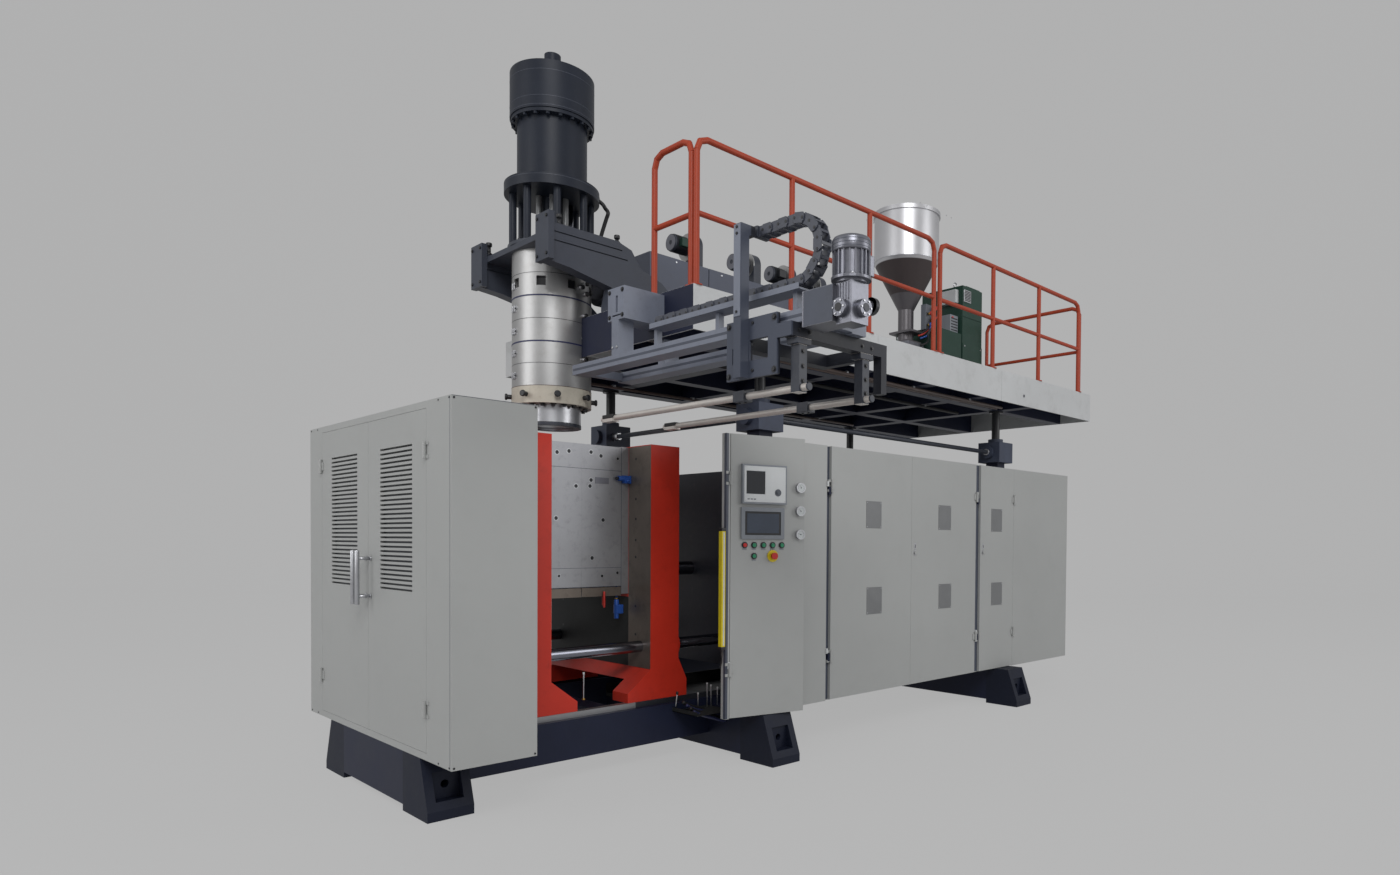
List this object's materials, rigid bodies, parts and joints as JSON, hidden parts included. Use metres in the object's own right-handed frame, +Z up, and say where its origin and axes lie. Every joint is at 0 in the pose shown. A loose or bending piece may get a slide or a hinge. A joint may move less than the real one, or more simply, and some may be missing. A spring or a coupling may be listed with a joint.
{
  "type": "blow moulding machine",
  "caption": "Accumulator-head extrusion blow moulding machine with a sliding clamp, a lifted extruder platform, guard cabinets and a take-out arm.",
  "frame": {"origin": "centre of the bounding box's bottom face, on the floor under the machine", "axes": "+X along the machine from the clamp end to the extruder drive, +Y from the operator's side to the rear, +Z up"},
  "size_m": [7.369, 4.56, 5.49],
  "materials": {
    "grey_paint": "satin light grey paint",
    "frame_blue": "dark blue enamel",
    "guide_grey": "ground strip",
    "orange_paint": "orange red paint",
    "mould_metal": "milled",
    "bar_chrome": "hard chrome",
    "dark_steel": "dark enamel",
    "rail_paint": "orange red paint",
    "band_metal": "dull sheet",
    "ring_beige": "beige enamel",
    "die_steel": "turned",
    "head_blue": "dark blue grey enamel",
    "cover_grey": "light grey paint",
    "blower_dark": "grey enamel",
    "hopper_steel": "polished sheet",
    "green_paint": "dark green enamel",
    "drive_metal": "cast",
    "arm_metal": "drawn tube",
    "carriage_dark": "dark enamel",
    "chain_black": "moulded",
    "button_red": "moulded",
    "button_green": "moulded",
    "button_pale": "moulded",
    "unit_grey": "moulded",
    "gauge_dark": "moulded",
    "fitting_blue": "blue enamel",
    "curtain_yellow": "yellow paint"
  },
  "bodies": {
    "base": {"base_frame": "frame_blue", "cast_feet": "frame_blue", "guide_rails": "guide_grey", "enclosure_shell": "grey_paint", "control_cabinet": "grey_paint", "electrical_cabinet": "grey_paint", "right_cabinet": "grey_paint", "light_curtain": "curtain_yellow", "jack_gearboxes": "dark_steel", "hydraulic_unit": "dark_steel"},
    "clamp_left": {"left_platen": "orange_paint", "left_mould": "mould_metal", "tie_bars": "bar_chrome", "rear_plate": "dark_steel", "clamp_cylinder": "dark_steel"},
    "clamp_right": {"right_platen": "orange_paint", "right_mould": "mould_metal", "piston_rod": "bar_chrome", "mould_fittings": "fitting_blue"},
    "front_louvre_door": {"louvre_door_front": "grey_paint"},
    "rear_louvre_door": {"louvre_door_rear": "grey_paint"},
    "operator_door": {"control_door": "grey_paint", "operator_units": "unit_grey", "pressure_gauges": "gauge_dark"},
    "left_cabinet_door": {"cabinet_door_left": "grey_paint"},
    "middle_cabinet_door": {"cabinet_door_right": "grey_paint"},
    "far_cabinet_door": {"right_cabinet_door": "grey_paint"},
    "platform": {"platform_frame": "frame_blue", "platform_deck": "cover_grey", "jack_screws": "bar_chrome", "handrails": "rail_paint", "head_support": "head_blue", "head_barrel": "dark_steel", "heater_bands": "band_metal", "die_ring": "ring_beige", "die": "die_steel", "head_posts": "head_blue", "head_cylinder": "head_blue", "extruder_barrel": "drive_metal", "barrel_covers": "cover_grey", "blowers": "blower_dark", "hopper": "hopper_steel", "extruder_gearbox": "green_paint", "drive_motor": "green_paint", "takeout_beams": "cover_grey", "takeout_drive": "drive_metal", "drag_chain": "chain_black"},
    "parison_ram": {"ram": "bar_chrome"},
    "die_core": {"mandrel": "die_steel"},
    "screw": {"extruder_screw": "die_steel"},
    "takeout_carriage": {"carriage": "carriage_dark"},
    "left_arm": {"grip_arm_left": "arm_metal"},
    "right_arm": {"grip_arm_right": "arm_metal"},
    "stop_button": {"emergency_stop": "button_red"},
    "push_button_1": {"button_1": "button_red"},
    "push_button_2": {"button_2": "button_pale"},
    "push_button_3": {"button_3": "button_pale"},
    "push_button_4": {"button_4": "button_pale"},
    "push_button_5": {"button_5": "button_pale"},
    "push_button_6": {"button_6": "button_green"}
  },
  "joints": [
    {"name": "clamp_left_slide", "type": "slide", "parent": "base", "child": "clamp_left", "axis": [-1, 0, 0], "range_m": [0, 0.3]},
    {"name": "clamp_right_slide", "type": "slide", "parent": "base", "child": "clamp_right", "axis": [1, 0, 0], "range_m": [0, 0.3]},
    {"name": "front_louvre_door_hinge", "type": "hinge", "parent": "base", "child": "front_louvre_door", "pos_m": [-3.5975, 0.065, 1.4], "axis": [0, 0, 1], "range_deg": [0, 110]},
    {"name": "rear_louvre_door_hinge", "type": "hinge", "parent": "base", "child": "rear_louvre_door", "pos_m": [-3.5975, 1.915, 1.4], "axis": [0, 0, -1], "range_deg": [0, 110]},
    {"name": "operator_door_hinge", "type": "hinge", "parent": "base", "child": "operator_door", "pos_m": [-1.5255, -0.292, 1.4], "axis": [0, 0, -1], "range_deg": [-15, 75]},
    {"name": "left_cabinet_door_hinge", "type": "hinge", "parent": "base", "child": "left_cabinet_door", "pos_m": [-0.4225, -0.292, 1.4], "axis": [0, 0, -1], "range_deg": [0, 110]},
    {"name": "middle_cabinet_door_hinge", "type": "hinge", "parent": "base", "child": "middle_cabinet_door", "pos_m": [1.7525, -0.292, 1.4], "axis": [0, 0, 1], "range_deg": [0, 110]},
    {"name": "far_cabinet_door_hinge", "type": "hinge", "parent": "base", "child": "far_cabinet_door", "pos_m": [2.4805, -0.292, 1.4], "axis": [0, 0, 1], "range_deg": [0, 110]},
    {"name": "platform_lift", "type": "slide", "parent": "base", "child": "platform", "axis": [0, 0, 1], "range_m": [-0.05, 0.25]},
    {"name": "ram_stroke", "type": "slide", "parent": "platform", "child": "parison_ram", "axis": [0, 0, -1], "range_m": [0, 0.3]},
    {"name": "die_gap_stroke", "type": "slide", "parent": "platform", "child": "die_core", "axis": [0, 0, 1], "range_m": [-0.03, 0.03]},
    {"name": "screw_turn", "type": "hinge", "parent": "platform", "child": "screw", "pos_m": [-1.8005, 1.08, 3.775], "axis": [1, 0, 0], "continuous": true},
    {"name": "takeout_travel", "type": "slide", "parent": "platform", "child": "takeout_carriage", "axis": [0, 1, 0], "range_m": [0, 0.85], "deforming": ["drag_chain"]},
    {"name": "left_arm_grip", "type": "slide", "parent": "takeout_carriage", "child": "left_arm", "axis": [1, 0, 0], "range_m": [0, 0.1]},
    {"name": "right_arm_grip", "type": "slide", "parent": "takeout_carriage", "child": "right_arm", "axis": [-1, 0, 0], "range_m": [0, 0.1]},
    {"name": "stop_press", "type": "slide", "parent": "operator_door", "child": "stop_button", "axis": [0.2588, 0.9659, 0], "range_m": [0, 0.006], "stiffness_N_per_m": 400},
    {"name": "button_1_press", "type": "slide", "parent": "operator_door", "child": "push_button_1", "axis": [0.2588, 0.9659, 0], "range_m": [0, 0.004], "stiffness_N_per_m": 300},
    {"name": "button_2_press", "type": "slide", "parent": "operator_door", "child": "push_button_2", "axis": [0.2588, 0.9659, 0], "range_m": [0, 0.004], "stiffness_N_per_m": 300},
    {"name": "button_3_press", "type": "slide", "parent": "operator_door", "child": "push_button_3", "axis": [0.2588, 0.9659, 0], "range_m": [0, 0.004], "stiffness_N_per_m": 300},
    {"name": "button_4_press", "type": "slide", "parent": "operator_door", "child": "push_button_4", "axis": [0.2588, 0.9659, 0], "range_m": [0, 0.004], "stiffness_N_per_m": 300},
    {"name": "button_5_press", "type": "slide", "parent": "operator_door", "child": "push_button_5", "axis": [0.2588, 0.9659, 0], "range_m": [0, 0.004], "stiffness_N_per_m": 300},
    {"name": "button_6_press", "type": "slide", "parent": "operator_door", "child": "push_button_6", "axis": [0.2588, 0.9659, 0], "range_m": [0, 0.004], "stiffness_N_per_m": 300}
  ],
  "couplings": [
    {"joint": "clamp_right_slide", "follows": "clamp_left_slide", "ratio": 1},
    {"joint": "right_arm_grip", "follows": "left_arm_grip", "ratio": 1}
  ]
}
